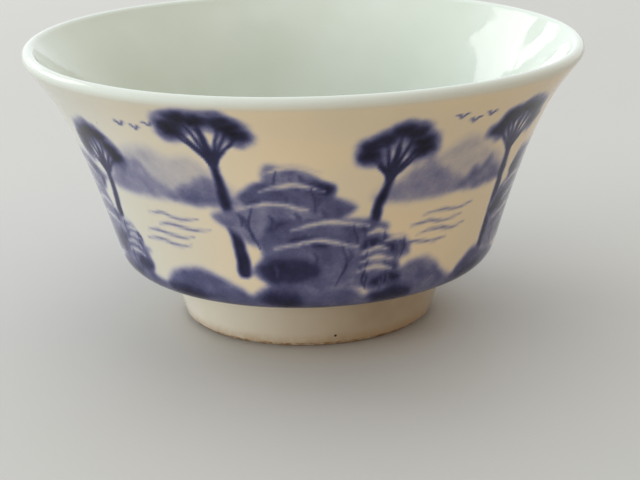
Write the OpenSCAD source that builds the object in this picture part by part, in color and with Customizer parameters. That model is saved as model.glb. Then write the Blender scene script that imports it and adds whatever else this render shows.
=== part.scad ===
// Small porcelain teacup with a flared lip on a turned foot, painted in
// cobalt under a clear glaze. Every piece is a ring turned about Z.
// The origin is the centre of the circle that the foot stands on.

/* [Lip] */
// Diameter across the lip
lip_d = 80; // [76:0.5:84]
// Height from the table to the top of the lip
cup_h = 40.5; // [38:0.5:43]
// Thickness of the rounded lip
lip_t = 1.9; // [1.5:0.1:2.4]
// Lean of the flared lip, in degrees from the vertical
lip_lean = 36; // [28:1:42]

/* [Bowl] */
// Diameter at the heel, where the underside turns up into the wall
heel_d = 55.6; // [53:0.2:58]
// Height of the heel above the table
heel_z = 11.6; // [11:0.1:12.4]
// Lean of the wall just above the heel, in degrees from the vertical
wall_lean = 16; // [12:1:19]
// Thickness of the wall at the heel, with its glaze
wall_t = 2.5; // [2:0.1:3]
// Slope of the underside beside the foot, in degrees from the horizontal
under_slope = 7; // [3:1:12]
// Height of the inside floor at its middle
floor_z = 9; // [8.6:0.1:9.8]

/* [Foot] */
// Diameter of the glazed foot at table height
foot_d = 36.4; // [34:0.2:37]
// Diameter of the foot where it meets the underside
foot_top_d = 40.6; // [39:0.2:41.6]
// Height at which the foot meets the underside
foot_h = 7.3; // [6.9:0.1:7.6]
// Width of the foot's wall at table height
foot_t = 3; // [2.6:0.1:3.6]
// Depth of the recess inside the foot
recess_h = 5.5; // [5:0.1:5.9]
// Lean of the recess wall, in degrees from the vertical
recess_lean = 6; // [0:1:10]
// Height of the foot's bare edge, wiped clean of glaze
bare_h = 0.7; // [0.6:0.1:1.2]

/* [Layers] */
// Thickness of the glaze
glaze_t = 0.3; // [0.2:0.05:0.4]
// Thickness of the cobalt painting between the clay and the glaze
paint_t = 0.1; // [0.08:0.01:0.15]

/* [Hidden] */
$fn = 180;

CLAY = "whitesmoke";
COBALT = "midnightblue";
GLAZE = "lavender";

curve_steps = 16;    // straight steps along each curve of the section
arc_steps = 10;      // straight steps along each rounded corner
corner_r = 0.5;      // rounding of the foot's bare edge
joint_r = 0.7;       // rounding in the corner between foot and underside
recess_r = 1.2;      // rounding in the corner of the recess
paint_first = 6;     // step of the underside's curve where the painting starts
paint_last = 15;     // step of the wall's curve where the painting ends

// How far the curves run straight on from their ends, as a share of the
// distance between those ends
under_reach = 0.6;
heel_reach = 0.36;
wall_reach = 0.72;
flare_reach = 0.16;
floor_reach = 0.55;
turn_reach = 0.12;

// Unit vector that leans out from the vertical
function lean(angle) = [sin(angle), cos(angle)];
// The vector turned a quarter turn to the right
function right(v) = [v[1], -v[0]];

function arc(centre, r, from, to) =
    [for (i = [0:arc_steps])
        centre + r * [cos(from + (to - from) * i / arc_steps),
                      sin(from + (to - from) * i / arc_steps)]];

function curve_point(c, t) =
    c[0] * pow(1 - t, 3) + c[1] * 3 * t * pow(1 - t, 2)
    + c[2] * 3 * t * t * (1 - t) + c[3] * pow(t, 3);
function curve_way(c, t) =
    (c[1] - c[0]) * pow(1 - t, 2) + (c[2] - c[1]) * 2 * t * (1 - t)
    + (c[3] - c[2]) * t * t;
// The steps from first to last of curve c, moved sideways by depth to its left
function curve_run(c, depth, first = 0, last = curve_steps) =
    [for (i = [first:last])
        let (t = i / curve_steps, way = curve_way(c, t))
        curve_point(c, t) - right(way / norm(way)) * depth];
function curve_between(a, way_a, reach_a, b, way_b, reach_b) =
    [a, a + way_a * reach_a * norm(b - a), b - way_b * reach_b * norm(b - a), b];
function reversed(list) = [for (i = [len(list) - 1:-1:0]) list[i]];

// The finished surface, up the outside from the foot. A depth is measured
// into the clay from that surface, to the left of the way it runs.
foot_base = [foot_d / 2, 0];
foot_corner = [foot_top_d / 2, foot_h];
foot_way = (foot_corner - foot_base) / norm(foot_corner - foot_base);
foot_lean = atan2(foot_way[0], foot_way[1]);
under_way = lean(90 - under_slope);
// The corner between foot and underside turns through this angle
joint_turn = 90 - under_slope - foot_lean;
joint_run = joint_r * tan(joint_turn / 2);
joint_low = foot_corner - foot_way * joint_run;
joint_high = foot_corner + under_way * joint_run;
joint_centre = joint_low + right(foot_way) * joint_r;
function joint_arc(depth) =
    arc(joint_centre, joint_r + depth, 180 - foot_lean, 90 + under_slope);
function foot_side(z, depth) =
    let (p = foot_base - right(foot_way) * depth)
    p + foot_way * (z - p[1]) / foot_way[1];

heel = [heel_d / 2, heel_z];
wall_way = lean(wall_lean);
lip_way = lean(lip_lean);
lip_centre = [(lip_d - lip_t) / 2, cup_h - lip_t / 2];
lip_out = lip_centre + right(lip_way) * lip_t / 2;
lip_in = lip_centre - right(lip_way) * lip_t / 2;
under = curve_between(joint_high, under_way, under_reach, heel, wall_way, heel_reach);
wall = curve_between(heel, wall_way, wall_reach, lip_out, lip_way, flare_reach);
function lip_arc(depth) =
    arc(lip_centre, lip_t / 2 - depth, -lip_lean, 180 - lip_lean);

// The finished surface, down the inside from the lip to the middle
heel_in = heel - right(wall_way) * wall_t;
floor_mid = [0, floor_z];
wall_in = curve_between(lip_in, -lip_way, flare_reach, heel_in, -wall_way, wall_reach);
floor_in = curve_between(heel_in, -wall_way, turn_reach, floor_mid, [-1, 0], floor_reach);

// The recess under the base, from the table up to the middle
recess_base = [foot_d / 2 - foot_t, 0];
recess_way = [-sin(recess_lean), cos(recess_lean)];
recess_turn = 90 - recess_lean;
recess_run = recess_r * tan(recess_turn / 2);
recess_corner = recess_base + recess_way * recess_h / recess_way[1];
recess_centre = [recess_corner[0] - recess_run, recess_h - recess_r];
function recess_arc(depth) =
    arc(recess_centre, recess_r + depth, recess_lean, 90);
function recess_side(z, depth) =
    let (p = recess_base + right(recess_way) * depth)
    p + recess_way * (z - p[1]) / recess_way[1];

// The clay's edge, bare at the table, with both of its corners rounded
edge_out = foot_side(0, glaze_t) + [-corner_r, corner_r];
edge_in = recess_side(0, glaze_t) + [corner_r, corner_r];
function edge_arcs() =
    concat(arc(edge_in, corner_r, 180, 270), arc(edge_out, corner_r, 270, 360));

function outer_run(depth) =
    concat(curve_run(under, depth), curve_run(wall, depth));
function inner_run(depth) =
    concat(curve_run(wall_in, depth), curve_run(floor_in, depth));
function painted_run(depth) =
    concat(curve_run(under, depth, paint_first), curve_run(wall, depth, 0, paint_last));

// The seam between the foot ring and the bowl, through the clay
seam_out = joint_arc(glaze_t)[0];
seam_in = recess_arc(glaze_t)[0];

module ring(points) {
    rotate_extrude()
        polygon(points);
}

module coat(outline, backing) {
    ring(concat(outline, reversed(backing)));
}

module bowl() {
    color(CLAY)
        ring(concat([[0, recess_h + glaze_t]],
                    reversed(recess_arc(glaze_t)),
                    joint_arc(glaze_t),
                    outer_run(glaze_t),
                    lip_arc(glaze_t),
                    inner_run(glaze_t)));
}

module foot_ring() {
    color(CLAY)
        ring(concat(edge_arcs(), [seam_out, seam_in]));
}

module cobalt_painting() {
    color(COBALT)
        coat(painted_run(glaze_t - paint_t), painted_run(glaze_t));
}

module outside_glaze() {
    color(GLAZE)
        coat(outer_run(0),
             concat(curve_run(under, glaze_t, 0, paint_first),
                    painted_run(glaze_t - paint_t),
                    curve_run(wall, glaze_t, paint_last)));
}

module lip_glaze() {
    color(GLAZE)
        coat(lip_arc(0), lip_arc(glaze_t));
}

module inside_glaze() {
    color(GLAZE)
        coat(inner_run(0), inner_run(glaze_t));
}

module foot_glaze() {
    color(GLAZE)
        coat(concat([foot_side(bare_h, 0)], joint_arc(0)),
             concat([foot_side(bare_h, glaze_t)], joint_arc(glaze_t)));
}

module base_glaze() {
    color(GLAZE)
        coat(concat([recess_side(bare_h, 0)], recess_arc(0), [[0, recess_h]]),
             concat([recess_side(bare_h, glaze_t)], recess_arc(glaze_t),
                    [[0, recess_h + glaze_t]]));
}

bowl();
foot_ring();
cobalt_painting();
outside_glaze();
inside_glaze();
lip_glaze();
foot_glaze();
base_glaze();
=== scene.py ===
import math
import random

import bpy
import numpy as np
from mathutils import Matrix, Vector


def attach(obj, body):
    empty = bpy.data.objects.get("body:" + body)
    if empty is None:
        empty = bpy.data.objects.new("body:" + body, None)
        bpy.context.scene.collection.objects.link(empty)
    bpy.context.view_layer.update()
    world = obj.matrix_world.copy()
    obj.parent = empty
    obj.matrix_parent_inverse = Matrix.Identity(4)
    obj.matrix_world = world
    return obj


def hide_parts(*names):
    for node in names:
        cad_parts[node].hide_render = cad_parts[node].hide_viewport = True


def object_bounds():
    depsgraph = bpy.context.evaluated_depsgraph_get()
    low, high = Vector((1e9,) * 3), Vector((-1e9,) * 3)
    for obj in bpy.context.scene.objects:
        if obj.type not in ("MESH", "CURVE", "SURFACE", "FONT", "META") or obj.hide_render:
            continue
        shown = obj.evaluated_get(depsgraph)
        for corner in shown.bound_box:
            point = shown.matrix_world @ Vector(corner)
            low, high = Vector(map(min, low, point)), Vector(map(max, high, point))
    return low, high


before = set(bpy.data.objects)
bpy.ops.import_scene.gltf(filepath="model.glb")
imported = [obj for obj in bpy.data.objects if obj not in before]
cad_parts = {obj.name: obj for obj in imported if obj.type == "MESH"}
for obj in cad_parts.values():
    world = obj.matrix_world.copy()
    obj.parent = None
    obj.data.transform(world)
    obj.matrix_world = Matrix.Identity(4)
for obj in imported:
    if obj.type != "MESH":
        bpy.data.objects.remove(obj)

# A small blue-and-white teacup. The CAD solids are all turned about Z, so each
# piece here is turned again from its CAD node's own section, smoothly and with
# the slight unevenness of a hand-thrown cup. The painting is a list of brush
# strokes in degrees round the wall and millimetres up it.

CAD_LOW, CAD_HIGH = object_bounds()
MM = 0.001
CUP_H = CAD_HIGH.z

# ---------------------------------------------------------------- sections


def seam_points(node):
    """Places and links of the node's vertices in the half plane y = 0, x >= 0."""
    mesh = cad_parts[node].data
    place_of = {}
    for vertex in mesh.vertices:
        x, y, z = vertex.co
        if abs(y) < 1e-7 and x > -1e-7:
            place_of[vertex.index] = (round(max(x, 0.0), 7), round(z, 7))
    links = {place: set() for place in place_of.values()}
    for edge in mesh.edges:
        a, b = (place_of.get(i) for i in edge.vertices)
        if a and b and a != b:
            links[a].add(b)
            links[b].add(a)
    return links


def section(node):
    """The node's outline as (radius, height) rows in order, and whether it closes.

    A flat face has no edge along the section, so it shows as a gap: a ring's
    two ends are at one height and are joined, and a disc's end is carried to
    the axis.
    """
    links = seam_points(node)
    ends = sorted(place for place, near in links.items() if len(near) == 1)
    here = ends[0] if ends else min(links)
    outline, seen = [here], {here}
    while True:
        ahead = [place for place in sorted(links[here]) if place not in seen]
        if not ahead:
            break
        here = ahead[0]
        outline.append(here)
        seen.add(here)
    first, last = outline[0], outline[-1]
    closed = not ends or (first[0] > 0 and abs(first[1] - last[1]) < 1e-6)
    if not closed:
        if first[0] > 0:
            outline.insert(0, (0.0, first[1]))
        if last[0] > 0:
            outline.append((0.0, last[1]))
    return np.array(outline), closed


CORNER = math.radians(28)


def runs_between_corners(outline, closed):
    """Splits the outline at its sharp corners. A closed one starts at a corner."""
    points = outline
    if closed:
        step = np.roll(points, -1, 0) - points
        way = np.arctan2(step[:, 1], step[:, 0])
        turn = np.abs((way - np.roll(way, 1) + np.pi) % (2 * np.pi) - np.pi)
        points = np.roll(points, -int(np.argmax(turn)), 0)
        points = np.vstack([points, points[:1]])
    step = np.diff(points, axis=0)
    way = np.arctan2(step[:, 1], step[:, 0])
    turn = np.abs((np.diff(way) + np.pi) % (2 * np.pi) - np.pi)
    cuts = [0, *(np.nonzero(turn > CORNER)[0] + 1), len(points) - 1]
    return [points[a:b + 1] for a, b in zip(cuts, cuts[1:])]


def smoothed(run, spacing):
    """Points about spacing apart on a smooth curve through those of the run."""
    step = np.diff(run, axis=0)
    length = np.hypot(*step.T)
    way = step / length[:, None]
    tangent = np.vstack([way[:1], step[:-1] + step[1:], way[-1:]])
    tangent /= np.hypot(*tangent.T)[:, None]
    points = []
    for i, size in enumerate(length):
        count = max(1, math.ceil(size / spacing - 1e-6))
        t = (np.arange(count) / count)[:, None]
        a, b = run[i], run[i + 1]
        points.append(a * (1 + 2 * t) * (1 - t) ** 2 + b * t * t * (3 - 2 * t)
                      + size * tangent[i] * t * (1 - t) ** 2
                      - size * tangent[i + 1] * t * t * (1 - t))
    return np.vstack([*points, run[-1:]])


def run_length(run):
    return float(np.hypot(*np.diff(run, axis=0).T).sum())


# ------------------------------------------------------------ hand-thrown form


def value_noise(points, size, seed):
    """Smooth random values from -1 to 1, size across, at points given in millimetres."""
    table = np.random.default_rng(seed).uniform(-1, 1, 4096)
    at = np.asarray(points, float) / size + 1000
    cell = np.floor(at).astype(np.int64)
    part = at - cell
    part = part * part * (3 - 2 * part)
    total = np.zeros(len(at))
    for corner in range(8):
        pick = np.array([corner & 1, corner >> 1 & 1, corner >> 2 & 1])
        weight = np.prod(np.where(pick, part, 1 - part), axis=1)
        spot = cell + pick
        mixed = spot[:, 0] * 73856093 ^ spot[:, 1] * 19349663 ^ spot[:, 2] * 83492791
        total += weight * table[mixed % 4096]
    return total


TILT = math.radians(0.35)       # the lip isn't quite level
OVAL = 0.0022                   # nor quite round
WAVE = 0.06 * MM                # slow waves in the glazed surface


def thrown(points):
    """Moves points of the true section to where the hand-thrown cup has them."""
    x, y, z = points.T
    up = np.clip(z / CUP_H, 0, 1) ** 1.5
    angle = np.arctan2(x, -y)
    out = 1 + up * (OVAL * np.sin(2 * angle + 0.6) + 0.0008 * np.sin(3 * angle + 2.0))
    wave = WAVE * up * value_noise(points / MM, 9, 3)
    radius = np.maximum(np.hypot(x, y), 1e-9)
    out = out + wave / np.maximum(radius, 5 * MM)
    lift = up * (-x * math.tan(TILT) + 0.1 * MM * np.sin(3 * angle + 0.8) * up)
    return np.stack([x * out, y * out, z + lift], 1)


def turned(name, node, angles, spacing, fine=None):
    """A piece turned from the node's section, with a column of points per angle.

    spacing is the distance between rows, and fine the one on the longest run
    between corners. Returns the piece and, for each point, its angle in degrees
    and its way along the longest run in millimetres, or -1 off it.
    """
    outline, closed = section(node)
    runs = runs_between_corners(outline, closed)
    longest = max(range(len(runs)), key=lambda i: run_length(runs[i]))
    rows, ways = [], []
    for i, run in enumerate(runs):
        points = smoothed(run, fine if fine and i == longest else spacing)
        way = np.concatenate([[0], np.cumsum(np.hypot(*np.diff(points, axis=0).T))])
        if points[0, 1] > points[-1, 1]:
            way = way[-1] - way
        if i == longest:
            last_way = way[-1]
        else:
            way = np.full(len(points), -MM)
        rows.append(points[:-1])
        ways.append(way[:-1])
    if closed:
        ways[(longest + 1) % len(runs)][0] = last_way
    else:
        rows.append(runs[-1][-1:])
        ways.append([-MM])
    rows, ways = np.vstack(rows), np.concatenate(ways)

    sweep = np.radians(angles)
    round_x, round_y = np.sin(sweep), -np.cos(sweep)
    points, first, row_angle, row_way = [], [], [], []
    for (radius, height), way in zip(rows, ways):
        first.append(sum(len(p) for p in points))
        if radius < 1e-7:
            points.append(np.array([[0, 0, height]]))
            row_angle.append([0.0])
            row_way.append([way / MM])
        else:
            level = np.full(len(sweep), height)
            points.append(np.stack([radius * round_x, radius * round_y, level], 1))
            row_angle.append(angles)
            row_way.append(np.full(len(sweep), way / MM))
    single = rows[:, 0] < 1e-7
    faces = []
    count = len(rows)
    here = np.arange(len(sweep))
    ahead = np.roll(here, -1)
    for i in range(count if closed else count - 1):
        k = (i + 1) % count
        a, b = first[i], first[k]
        if single[i] and single[k]:
            continue
        if single[i]:
            faces += [(a, b + q, b + p) for p, q in zip(here, ahead)]
        elif single[k]:
            faces += [(a + p, a + q, b) for p, q in zip(here, ahead)]
        else:
            faces += [(a + p, a + q, b + q, b + p) for p, q in zip(here, ahead)]
    area = np.sum(rows[:, 0] * np.roll(rows[:, 1], -1) - rows[:, 1] * np.roll(rows[:, 0], -1))
    if area < 0:
        faces = [face[::-1] for face in faces]
    mesh = bpy.data.meshes.new(name)
    mesh.from_pydata(thrown(np.vstack(points)), [], faces)
    mesh.validate()
    mesh.shade_smooth()
    mesh.set_sharp_from_angle(angle=math.radians(40))
    piece = bpy.data.objects.new(name, mesh)
    bpy.context.scene.collection.objects.link(piece)
    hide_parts(node)
    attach(piece, "root")
    return piece, np.concatenate(row_angle), np.concatenate(row_way)


# ---------------------------------------------------------------- painting
# A stroke is laid over the ones before it. Its tone runs from 0, bare ground,
# to 1, the darkest cobalt, and its edge fades over soft millimetres. Points are
# (degrees to the right of the front, millimetres up the wall from the foot).
# The landscape is a plain one, drawn by rule with seeded chance.

DEGREE = 0.58                   # millimetres along the wall in one degree, halfway up
WALL_START = 0.65               # millimetres of rounded corner below the painted glaze


def curve_through(points, closed, steps=6):
    """A smooth line through points, which may carry a width as a third value."""
    p = np.array(points, float)
    if closed:
        p = np.vstack([p[-1:], p, p[:2]])
    else:
        p = np.vstack([2 * p[0] - p[1], p, 2 * p[-1] - p[-2]])
    t = (np.arange(steps) / steps)[:, None]
    parts = []
    for a, b, c, d in zip(p, p[1:], p[2:], p[3:]):
        parts.append(0.5 * (2 * b + (c - a) * t + (2 * a - 5 * b + 4 * c - d) * t ** 2
                            + (3 * b - a - 3 * c + d) * t ** 3))
    if not closed:
        parts.append(p[-2:-1])
    return np.vstack(parts)


WASH_BLEED = 1.8                # how much the glaze softens the edge of a wash
LINE_BLEED = 1.5                # and that of a brush line


def wash(tone, soft, *outline):
    """A filled shape."""
    line = curve_through(outline, True)
    return {"tone": tone, "soft": soft * WASH_BLEED, "line": line, "filled": True}


def brush(tone, soft, widths, *path):
    """A line of the brush, with its width at each point of the path."""
    line = curve_through([(*at, w) for at, w in zip(path, widths)], False)
    return {"tone": tone, "soft": soft * LINE_BLEED, "line": line, "filled": False}


def crack(tone, *path):
    """A thin dark line that swells a little in the middle."""
    middle = (len(path) - 1) / 2
    widths = [0.40 - 0.26 * abs(i - middle) / middle for i in range(len(path))]
    return brush(tone, 0.3, widths, *path)


def distance_to(line, points, filled):
    """Distance in millimetres from points to the stroke's edge, negative inside it."""
    ends = np.roll(line, -1, 0) if filled else line[1:]
    starts = line if filled else line[:-1]
    best = np.full(len(points), 1e9)
    inside = np.zeros(len(points), bool)
    for a, b in zip(starts, ends):
        run = b[:2] - a[:2]
        size = max(float(run @ run), 1e-12)
        t = np.clip((points - a[:2]) @ run / size, 0, 1)
        away = np.hypot(*(points - a[:2] - t[:, None] * run).T)
        if not filled:
            away = away - (a[2] + (b[2] - a[2]) * t) / 2
        best = np.minimum(best, away)
        if filled:
            above = (a[1] > points[:, 1]) != (b[1] > points[:, 1])
            if above.any():
                rise = b[1] - a[1]
                cross = a[0] + (points[:, 1] - a[1]) / (rise if rise else 1e-12) * run[0]
                inside ^= above & (points[:, 0] < cross)
    return np.where(inside, -best, best) if filled else best


def painted(strokes, angle, height, place):
    """The cobalt's tone at each point of the wall."""
    wobble = np.stack([value_noise(place, 1.6, 11), value_noise(place, 1.6, 12)], 1) * 0.16
    wobble += np.stack([value_noise(place, 0.7, 13), value_noise(place, 0.7, 14)], 1) * 0.07
    sheet = np.stack([angle * DEGREE, height], 1) + wobble
    tone = np.zeros(len(angle))
    for stroke in strokes:
        line = stroke["line"] * [DEGREE, 1, 1][:stroke["line"].shape[1]]
        middle = line[:, 0].mean()
        turn = 360 * DEGREE
        x = (sheet[:, 0] - middle + turn / 2) % turn - turn / 2 + middle
        reach = stroke["soft"] + (0 if stroke["filled"] else line[:, 2].max())
        low, high = line[:, :2].min(0) - reach, line[:, :2].max(0) + reach
        near = np.nonzero((x > low[0]) & (x < high[0])
                          & (sheet[:, 1] > low[1]) & (sheet[:, 1] < high[1]))[0]
        if not len(near):
            continue
        at = np.stack([x[near], sheet[near, 1]], 1)
        edge = distance_to(line, at, stroke["filled"])
        cover = np.clip(0.5 - edge / stroke["soft"], 0, 1)
        cover = cover * cover * (3 - 2 * cover)
        tone[near] += (stroke["tone"] - tone[near]) * cover
    return tone


ISLANDS = 5                     # evenly round the cup, the largest at the front
ISLAND_FOOT = 10.5              # millimetres up the wall
ROCK_LOBES = 5
ROCK_BULGE = 0.30               # how uneven a lobe's outline is
ROCK_MARKS = 5                  # short strokes on each lobe
TREE_TUFTS = 7
TREE_BENDS = 4
BANKS = 12
CORNERS = 9                     # of the outline of a rounded wash


def blob(chance, tone, soft, middle, width, height, bulge=0.17):
    """A rounded wash that bulges by chance, so many degrees wide and millimetres high."""
    outline = []
    for i in range(CORNERS):
        turn = 2 * math.pi * i / CORNERS
        reach = 1 + chance.uniform(-bulge, bulge)
        outline.append((middle[0] + reach * width / 2 * math.cos(turn),
                        middle[1] + reach * height / 2 * math.sin(turn)))
    return wash(tone, soft, *outline)


def ridge(chance, tone, soft, middle, foot, width, height):
    """A hill or a bank, flat along its foot, with a rounded and uneven top."""
    outline = []
    for i in range(CORNERS):
        share = i / (CORNERS - 1)
        rise = height * math.sin(math.pi * share) * (1 + chance.uniform(-0.22, 0.22))
        outline.append((middle + width * (share - 0.5), foot + rise))
    outline.append((middle + width / 4, foot - 0.8))
    outline.append((middle - width / 4, foot - 0.8))
    return wash(tone, soft, *outline)


def rock(chance, middle, foot, width, height):
    """Lobes piled from the far side to the near one, each with a light edge, a dark fold,
    a crack and a few short strokes of texture."""
    strokes = []
    for i in range(ROCK_LOBES):
        near = i / (ROCK_LOBES - 1)
        wide = width * (0.50 + 0.38 * near)
        tall = height * 0.42
        x = middle + width * chance.uniform(-0.22, 0.22)
        y = foot + height * (0.80 - 0.64 * near)
        side = chance.choice((-1, 1))
        strokes.append(blob(chance, chance.uniform(0.44, 0.60), 0.8, (x, y), wide, tall, ROCK_BULGE))
        strokes.append(blob(chance, chance.uniform(0.80, 0.96), 1.0,
                            (x + 0.20 * side * wide, y - 0.08 * tall), 0.50 * wide, 0.50 * tall))
        strokes.append(brush(0.14, 0.6, [0.2, 0.8, 0.2], (x - 0.30 * wide, y + 0.36 * tall),
                             (x, y + 0.50 * tall), (x + 0.30 * wide, y + 0.36 * tall)))
        strokes.append(crack(0.76, (x - 0.18 * side * wide, y + 0.40 * tall),
                             (x - 0.22 * side * wide, y), (x - 0.14 * side * wide, y - 0.42 * tall)))
        for _ in range(ROCK_MARKS):
            mark_x = x + wide * chance.uniform(-0.34, 0.34)
            mark_y = y + tall * chance.uniform(-0.10, 0.34)
            strokes.append(brush(0.70, 0.35, [0.2, 0.6, 0.2], (mark_x, mark_y),
                                 (mark_x + 0.7, mark_y - 0.8), (mark_x + 0.5, mark_y - 1.9)))
    return strokes


def tree(chance, x, foot, height, lean):
    """A bending trunk, with a branch to each tuft of leaves round its head."""
    trunk = []
    for i in range(TREE_BENDS + 1):
        up = i / TREE_BENDS
        trunk.append((x + lean * up + chance.uniform(-0.6, 0.6), foot + height * up))
    tufts = []
    for i in range(TREE_TUFTS):
        turn = math.pi * (1.15 * i / (TREE_TUFTS - 1) - 0.08)
        tufts.append((trunk[-1][0] + chance.uniform(5, 8) * math.cos(turn),
                      trunk[-1][1] + chance.uniform(1.8, 3.2) * math.sin(turn)))
    widths = [2.2 - 1.5 * i / TREE_BENDS for i in range(TREE_BENDS + 1)]
    return [
        *[blob(chance, 0.54, 0.9, tuft, 7.5, 4.0) for tuft in tufts],
        brush(0.90, 0.7, widths, *trunk),
        *[brush(0.82, 0.4, [0.8, 0.3], trunk[-2], tuft) for tuft in tufts],
        *[blob(chance, 0.94, 0.7, tuft, 4.8, 1.9) for tuft in tufts],
    ]


def island(chance, middle, size):
    """A rock with a smaller one beside it, and a tree on either hand."""
    width = 40 * size
    height = 19 * size
    return [
        *tree(chance, middle - 0.42 * width, ISLAND_FOOT + 2, 23 * size, -4),
        *tree(chance, middle + 0.36 * width, ISLAND_FOOT + 2, 19 * size, 5),
        *rock(chance, middle, ISLAND_FOOT, width, height),
        *rock(chance, middle + 0.52 * width, ISLAND_FOOT - 1, 0.45 * width, 0.48 * height),
    ]


def water(chance, middle, height):
    """Short waves, one under another."""
    strokes = []
    for i in range(4):
        x = middle + chance.uniform(-6, 6)
        y = height - 1.5 * i
        strokes.append(brush(0.40, 0.4, [0.15, 0.5, 0.45, 0.15], (x - 8, y), (x - 3, y + 0.35),
                             (x + 3, y - 0.1), (x + 8, y + 0.25)))
    return strokes


def far_shore(chance, middle):
    """Pale hills across the water, with birds over them."""
    strokes = [ridge(chance, 0.20, 1.4, middle, 24, 42, 8),
               ridge(chance, 0.40, 1.1, middle - 8, 23.6, 24, 5),
               ridge(chance, 0.50, 1.0, middle + 11, 23.4, 18, 3.4)]
    for i in range(3):
        x = middle + 4 * (i - 1)
        y = 35 + chance.uniform(-0.8, 0.8)
        strokes.append(brush(0.58, 0.3, [0.15, 0.4, 0.3, 0.4, 0.15], (x - 1.6, y + 0.6),
                             (x - 0.8, y + 0.6), (x, y), (x + 0.8, y + 0.6), (x + 1.6, y + 0.6)))
    return strokes


def near_bank(chance):
    """Overlapping banks all round the heel, with darker patches."""
    strokes = []
    for i in range(BANKS):
        middle = 360 * i / BANKS
        strokes.append(ridge(chance, chance.uniform(0.50, 0.64), 1.0, middle, 5.4, 44, 6.5))
        strokes.append(blob(chance, 0.84, 1.4, (middle + chance.uniform(-8, 8), 7.6), 13, 3.2))
    return strokes


def painting():
    """A plain river landscape: the same motifs in turn round the cup."""
    chance = random.Random(7)
    step = 360 / ISLANDS
    strokes = []
    for i in range(ISLANDS):
        between = (i + 0.5) * step
        strokes.extend(far_shore(chance, between))
        strokes.extend(water(chance, between, 20))
    strokes.extend(near_bank(chance))
    for i in range(ISLANDS):
        strokes.extend(island(chance, i * step, 1.0 if i == 0 else 0.86))
    return strokes


# ---------------------------------------------------------------- materials


def new_material(name, roughness, gloss=0.5):
    material = bpy.data.materials.new(name)
    material.use_nodes = True
    shader = material.node_tree.nodes["Principled BSDF"]
    shader.inputs["Roughness"].default_value = roughness
    shader.inputs["Specular IOR Level"].default_value = gloss
    return material


class Maker:
    """Adds nodes to a material's tree, each with its inputs linked or set."""

    def __init__(self, material):
        self.tree = material.node_tree
        self.shader = self.tree.nodes["Principled BSDF"]
        place = self.add("ShaderNodeTexCoord")
        scale = self.add("ShaderNodeVectorMath", operation="SCALE")
        self.tree.links.new(place.outputs["Object"], scale.inputs[0])
        scale.inputs["Scale"].default_value = 1 / MM
        self.place = scale.outputs[0]       # position in millimetres

    def add(self, kind, **settings):
        node = self.tree.nodes.new(kind)
        for key, value in settings.items():
            setattr(node, key, value)
        return node

    def put(self, socket, value):
        if isinstance(value, bpy.types.NodeSocket):
            self.tree.links.new(value, socket)
        else:
            socket.default_value = value

    def noise(self, size, detail=2.0, roughness=0.5):
        node = self.add("ShaderNodeTexNoise")
        self.put(node.inputs["Vector"], self.place)
        self.put(node.inputs["Scale"], 1 / size)
        self.put(node.inputs["Detail"], detail)
        self.put(node.inputs["Roughness"], roughness)
        return node.outputs["Fac"]

    def math(self, operation, a, b=0.0, clamp=False):
        node = self.add("ShaderNodeMath", operation=operation, use_clamp=clamp)
        self.put(node.inputs[0], a)
        self.put(node.inputs[1], b)
        return node.outputs[0]

    def between(self, value, low, high, to_low=0.0, to_high=1.0):
        node = self.add("ShaderNodeMapRange", interpolation_type="SMOOTHSTEP")
        self.put(node.inputs["Value"], value)
        self.put(node.inputs["From Min"], low)
        self.put(node.inputs["From Max"], high)
        self.put(node.inputs["To Min"], to_low)
        self.put(node.inputs["To Max"], to_high)
        return node.outputs["Result"]

    def blend(self, factor, a, b, kind="MIX"):
        node = self.add("ShaderNodeMix", data_type="RGBA", blend_type=kind)
        self.put(node.inputs["Factor"], factor)
        self.put(node.inputs["A"], a if isinstance(a, bpy.types.NodeSocket) else (*a, 1))
        self.put(node.inputs["B"], b if isinstance(b, bpy.types.NodeSocket) else (*b, 1))
        return node.outputs["Result"]

    def ramp(self, value, *stops):
        node = self.add("ShaderNodeValToRGB")
        colours = node.color_ramp.elements
        while len(colours) < len(stops):
            colours.new(0.5)
        for element, (at, colour) in zip(colours, stops):
            element.position = at
            element.color = (*colour, 1)
        self.put(node.inputs["Fac"], value)
        return node.outputs["Color"]

    def attribute(self, name):
        return self.add("ShaderNodeAttribute", attribute_name=name).outputs["Fac"]

    def bump(self, height, distance):
        node = self.add("ShaderNodeBump")
        self.put(node.inputs["Height"], height)
        self.put(node.inputs["Distance"], distance)
        self.put(node.inputs["Strength"], 1.0)
        self.put(self.shader.inputs["Normal"], node.outputs["Normal"])
        return node

    def finish(self, colour, roughness=None):
        self.put(self.shader.inputs["Base Color"], colour)
        if roughness is not None:
            self.put(self.shader.inputs["Roughness"], roughness)


# Linear colours
# GROUND_WARM_BOUNCE: the glaze's cream with painted warm bounce light and shade on it, for the front and
# right of the outside
GROUND_WARM_BOUNCE = (0.80, 0.655, 0.445)
INSIDE = (0.62, 0.67, 0.61)
LIP = (0.60, 0.63, 0.57)
# the foot's glaze in painted light at the left and in painted shade at the right
FOOT_PAINTED_LIGHT = (0.74, 0.69, 0.58)
FOOT_PAINTED_SHADE = (0.40, 0.31, 0.21)
IRON = (0.16, 0.07, 0.03)
FOOT_PIT = (3.5, -18.3, 1.7)    # a dark pit in the foot's glaze, in millimetres
CLAY = (0.55, 0.45, 0.32)


def glaze_surface(make):
    """The faint unevenness that all the glazes share."""
    slow = make.noise(5.0, 1.0)
    fine = make.noise(0.9, 2.0)
    height = make.math("ADD", make.math("MULTIPLY", slow, 0.08), make.math("MULTIPLY", fine, 0.006))
    make.bump(height, MM)
    return make.between(make.noise(2.5, 3.0), 0.3, 0.7, 0.05, 0.11)


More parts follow.
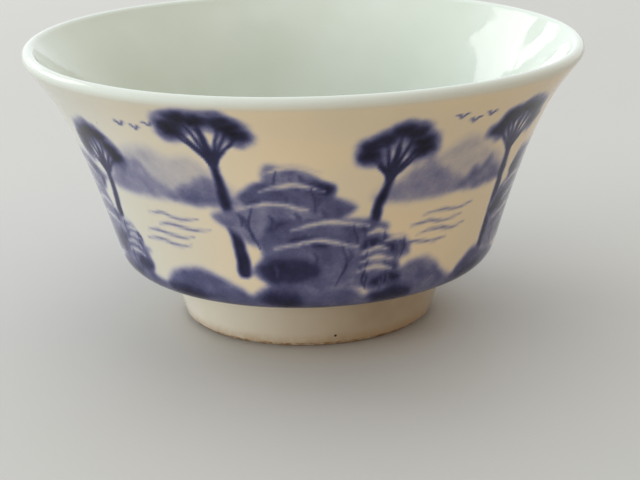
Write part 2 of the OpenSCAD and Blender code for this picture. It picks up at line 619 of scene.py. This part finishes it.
def specks(make, colour, spacing, share, radius, shade):
    """Small round spots of shade, on that share of cells about spacing millimetres across."""
    cells = make.add("ShaderNodeTexVoronoi")
    make.put(cells.inputs["Vector"], make.place)
    make.put(cells.inputs["Scale"], 1 / spacing)
    chosen = make.add("ShaderNodeSeparateColor")
    make.put(chosen.inputs[0], cells.outputs["Color"])
    near = make.between(cells.outputs["Distance"], radius / spacing, 0.4 * radius / spacing)
    spot = make.math("MULTIPLY", near, make.math("LESS_THAN", chosen.outputs[0], share))
    return make.blend(make.math("MULTIPLY", spot, 0.75), colour, shade)


def over_cobalt(make, ground):
    """The ground's colour under the cobalt, which pools and breaks up, with pale pinholes."""
    ink = make.attribute("ink")
    grain = make.math("SUBTRACT", make.noise(0.35, 2.0, 0.6), 0.5)
    mottle = make.math("SUBTRACT", make.noise(2.6, 2.0, 0.5), 0.5)
    depth = make.math("MULTIPLY", ink, make.math("SUBTRACT", 1.15, ink))
    rough = make.math("ADD", make.math("MULTIPLY", grain, 0.35), make.math("MULTIPLY", mottle, 1.1))
    tone = make.math("ADD", ink, make.math("MULTIPLY", depth, rough), clamp=True)
    cover = make.ramp(tone, (0.0, (1, 1, 1)), (0.12, (0.81, 0.83, 0.98)),
                      (0.35, (0.375, 0.395, 0.67)), (0.55, (0.155, 0.170, 0.40)),
                      (0.75, (0.053, 0.058, 0.18)), (1.0, (0.006, 0.005, 0.018)))
    base = make.blend(make.between(tone, 0.0, 0.5), ground, (0.71, 0.66, 0.54))
    colour = make.blend(1.0, base, cover, "MULTIPLY")
    return specks(make, colour, 1.7, 0.10, 0.08, (0.6, 0.6, 0.62))


def outside_ground(make):
    """The unpainted outside, with painted light on it: cool and pale at the left where the window light
    falls, warm from the front round to the right as painted warm bounce light and shade, and pale toward
    the lip.
    """
    # painted light: the cool colour stands for window light on the left, the warm one for warm bounce
    # light and shade at the front and right
    ground = make.blend(make.attribute("painted_warm_bounce"), (0.66, 0.65, 0.58), GROUND_WARM_BOUNCE)
    clouded = make.between(make.noise(14.0, 1.0), 0.35, 0.65, 0.0, 0.25)
    ground = make.blend(clouded, ground, (0.60, 0.57, 0.46))
    ground = specks(make, ground, 1.6, 0.02, 0.16, IRON)
    return make.blend(make.attribute("rim"), ground, LIP)


def painted_glaze():
    material = new_material("painted_glaze", 0.1, 0.16)
    make = Maker(material)
    make.finish(over_cobalt(make, outside_ground(make)), glaze_surface(make))
    return material


def lip_glaze():
    material = new_material("lip_glaze", 0.1, 0.4)
    make = Maker(material)
    outer = over_cobalt(make, outside_ground(make))
    make.finish(make.blend(make.attribute("inward"), outer, INSIDE), glaze_surface(make))
    return material


def plain_glaze(name, colour, other, spotted):
    material = new_material(name, 0.1)
    make = Maker(material)
    shade = make.blend(make.between(make.noise(11.0, 2.0), 0.3, 0.7), colour, other)
    shade = specks(make, shade, 2.0, spotted, 0.16, IRON)
    make.finish(shade, glaze_surface(make))
    return material


def foot_glaze_material():
    material = new_material("foot_glaze", 0.12)
    make = Maker(material)
    height = make.add("ShaderNodeSeparateXYZ")
    make.put(height.inputs[0], make.place)
    # painted light and shade: the foot's glaze is pale at the left, where the light falls, and tan at
    # the right, where it is in shade
    shade = make.blend(make.between(height.outputs["X"], -19.0, 15.0), FOOT_PAINTED_LIGHT, FOOT_PAINTED_SHADE)
    shade = make.blend(make.between(make.noise(6.0, 2.0), 0.3, 0.7, 0.0, 0.3), shade, (0.60, 0.53, 0.40))
    thin = make.math("MULTIPLY", make.between(height.outputs["Z"], 2.4, 0.5),
                     make.between(make.noise(1.6, 4.0, 0.7), 0.25, 0.75, 0.25, 0.8))
    shade = make.blend(thin, shade, (0.42, 0.27, 0.14))
    shade = specks(make, shade, 1.6, 0.01, 0.16, IRON)
    pit = make.add("ShaderNodeVectorMath", operation="DISTANCE")
    make.put(pit.inputs[0], make.place)
    make.put(pit.inputs[1], FOOT_PIT)
    shade = make.blend(make.between(pit.outputs["Value"], 0.28, 0.12), shade, (0.05, 0.03, 0.02))
    make.finish(shade, glaze_surface(make))
    return material


def bare_clay():
    material = new_material("bare_porcelain", 0.75)
    make = Maker(material)
    shade = make.blend(make.between(make.noise(1.2, 3.0, 0.7), 0.35, 0.65), CLAY, (0.34, 0.19, 0.09))
    shade = specks(make, shade, 0.9, 0.25, 0.2, IRON)
    make.bump(make.noise(0.3, 3.0), 0.05 * MM)
    make.finish(shade, make.between(make.noise(0.8, 2.0), 0.3, 0.7, 0.6, 0.85))
    return material


def hidden_clay():
    material = new_material("porcelain", 0.7)
    make = Maker(material)
    clouded = make.between(make.noise(4.0, 3.0), 0.3, 0.7)
    shade = make.blend(clouded, (0.70, 0.67, 0.60), (0.62, 0.59, 0.52))
    make.bump(make.noise(0.4, 3.0), 0.03 * MM)
    make.finish(shade)
    return material


# ------------------------------------------------------------------- pieces

FRONT = 75                      # the finely divided front, in degrees each way


def column_angles():
    front = np.arange(-FRONT, FRONT, 0.4)
    back = np.arange(FRONT, 360 - FRONT, 0.75)
    return np.concatenate([front, back])


def ramped(value, low, high):
    """0 at low, 1 at high, and a smooth rise between."""
    t = np.clip((value - low) / (high - low), 0, 1)
    return t * t * (3 - 2 * t)


def dress(piece, material):
    piece.data.materials.clear()
    piece.data.materials.append(material)


RIM = 39.1, 40.6                # millimetres up the wall where its glaze grows thick and pale
RIM_FADE = 0.80                 # and how much of the painting it hides there


def give(piece, name, values):
    layer = piece.data.attributes.new(name, "FLOAT", "POINT")
    layer.data.foreach_set("value", np.asarray(values, np.float32))


def cobalt_on(piece, angle, height, painted_here):
    """Gives the piece its paler rim, the painted light on its ground (cool window light at the left and
    back, warm bounce light and shade from the front round to the right) and, where painted_here holds,
    the painting."""
    angle = (angle + 180) % 360 - 180
    place = np.empty(len(angle) * 3, np.float32)
    piece.data.vertices.foreach_get("co", place)
    place = place.reshape(-1, 3) / MM
    ink = np.zeros(len(angle))
    here = painted_here
    ink[here] = painted(painting(), angle[here], height[here], place[here])
    rim = ramped(height, *RIM)
    give(piece, "ink", ink * (1 - RIM_FADE * rim))
    give(piece, "rim", rim)
    # painted light: 0 on the cool, window-lit left and back, 1 in the painted warm bounce light and
    # shade from the front round to the right
    give(piece, "painted_warm_bounce", ramped(angle, -66, 2) * ramped(angle, 150, 90))


def make_painted_wall():
    """Makes the outside and returns the height, up the wall, at which the lip takes over."""
    piece, angle, way = turned("painted_outside_glaze", "outside_glaze", column_angles(),
                               2.0 * MM, 0.44 * MM)
    height = way + WALL_START
    cobalt_on(piece, angle, height, way >= 0)
    dress(piece, painted_glaze())
    return float(height.max())


def make_lip(wall_top):
    piece, angle, way = turned("glaze_on_lip", "lip_glaze", column_angles(), 0.4 * MM, 0.2 * MM)
    cobalt_on(piece, angle, way + wall_top, way >= 0)
    give(piece, "inward", ramped(way, 0.4 * way.max(), 0.95 * way.max()))
    dress(piece, lip_glaze())


def make_pieces():
    make_lip(make_painted_wall())
    even = np.arange(0, 360, 1.5)
    clay = hidden_clay()
    for name, node, slot, material, spacing in (
        ("porcelain_bowl", "bowl", "porcelain", clay, 1.5),
        ("porcelain_foot_ring", "foot_ring", "bare_porcelain", bare_clay(), 0.4),
        ("cobalt_layer", "cobalt_painting", "cobalt", clay, 1.5),
        ("glaze_inside", "inside_glaze", "inside_glaze",
         plain_glaze("inside_glaze", INSIDE, (0.59, 0.64, 0.565), 0.012), 0.8),
        ("glaze_on_foot", "foot_glaze", "foot_glaze", foot_glaze_material(), 0.4),
        ("glaze_under_base", "base_glaze", "foot_glaze",
         plain_glaze("base_glaze", (0.62, 0.63, 0.55), (0.56, 0.56, 0.46), 0.06), 0.6),
    ):
        piece, _, _ = turned(name, node, even, spacing * MM)
        dress(piece, material)


# -------------------------------------------------------------------- studio


def area_light(name, place, aim, size, power, colour, reflected=True):
    data = bpy.data.lights.new(name, "AREA")
    data.shape = "RECTANGLE"
    data.size, data.size_y = size
    data.energy = power
    data.color = colour
    lamp = bpy.data.objects.new(name, data)
    lamp.location = place
    lamp.rotation_mode = "QUATERNION"
    lamp.rotation_quaternion = (Vector(aim) - Vector(place)).to_track_quat("-Z", "Y")
    lamp.visible_glossy = reflected
    bpy.context.scene.collection.objects.link(lamp)


def make_floor():
    bpy.ops.mesh.primitive_circle_add(vertices=96, radius=4.0, fill_type="NGON")
    floor = bpy.context.object
    floor.name = "floor"
    material = new_material("floor", 0.6)
    make = Maker(material)
    make.finish(make.blend(make.noise(60.0, 2.0), (0.50, 0.49, 0.47), (0.47, 0.46, 0.44)))
    floor.data.materials.append(material)


def make_dome():
    """A soft surround: cool and bright to the left, warm and dim to the front right."""
    world = bpy.data.worlds.new("studio")
    bpy.context.scene.world = world
    world.use_nodes = True
    tree = world.node_tree
    place = tree.nodes.new("ShaderNodeTexCoord")
    along = tree.nodes.new("ShaderNodeVectorMath")
    along.operation = "DOT_PRODUCT"
    along.inputs[1].default_value = (0.65, -0.55, -0.50)
    ramp = tree.nodes.new("ShaderNodeMapRange")
    ramp.interpolation_type = "SMOOTHSTEP"
    ramp.inputs["From Min"].default_value = -0.6
    ramp.inputs["From Max"].default_value = 0.8
    blend = tree.nodes.new("ShaderNodeMix")
    blend.data_type = "RGBA"
    blend.inputs["A"].default_value = (0.93, 0.98, 1.0, 1)
    blend.inputs["B"].default_value = (0.46, 0.345, 0.24, 1)
    background = tree.nodes["Background"]
    background.inputs["Strength"].default_value = 1.3
    tree.links.new(place.outputs["Generated"], along.inputs[0])
    tree.links.new(along.outputs["Value"], ramp.inputs["Value"])
    tree.links.new(ramp.outputs["Result"], blend.inputs["Factor"])
    tree.links.new(blend.outputs["Result"], background.inputs["Color"])


def make_studio():
    make_floor()
    make_dome()
    middle = (0, 0, CUP_H / 2)
    area_light("window", (-0.64, 0.46, 0.44), middle, (0.42, 0.36), 1.3, (1.0, 0.99, 0.97))
    area_light("left_sky", (-0.80, -0.35, 0.16), middle, (0.5, 0.25), 1.9, (0.97, 1.0, 0.99),
               reflected=False)
    area_light("back_window", (-0.46, 0.80, 0.33), middle, (0.30, 0.10), 0.55, (1.0, 1.0, 0.98))
    bpy.context.scene.view_settings.view_transform = "Standard"


CAMERA_BACK = 0.2441            # metres in front of the cup's axis
CAMERA_UP = 0.0868              # metres above the table
CAMERA_DOWN = math.radians(17.47)
CAMERA_TURN = math.radians(0.42)
CAMERA_ROLL = math.radians(-1.33)
CAMERA_LENS = 96.9              # millimetres, on a 36 mm sensor


def make_camera():
    data = bpy.data.cameras.new("camera")
    data.lens = CAMERA_LENS
    data.clip_start = 0.01
    camera = bpy.data.objects.new("camera", data)
    ahead = Vector((math.sin(CAMERA_TURN) * math.cos(CAMERA_DOWN),
                    math.cos(CAMERA_TURN) * math.cos(CAMERA_DOWN), -math.sin(CAMERA_DOWN)))
    level = Vector((math.cos(CAMERA_TURN), -math.sin(CAMERA_TURN), 0))
    above = level.cross(ahead)
    right = level * math.cos(CAMERA_ROLL) + above * math.sin(CAMERA_ROLL)
    up = above * math.cos(CAMERA_ROLL) - level * math.sin(CAMERA_ROLL)
    turn = Matrix((right, up, -ahead)).transposed()
    camera.matrix_world = Matrix.Translation((0, -CAMERA_BACK, CAMERA_UP)) @ turn.to_4x4()
    bpy.context.scene.collection.objects.link(camera)
    bpy.context.scene.camera = camera


make_pieces()
make_studio()
make_camera()
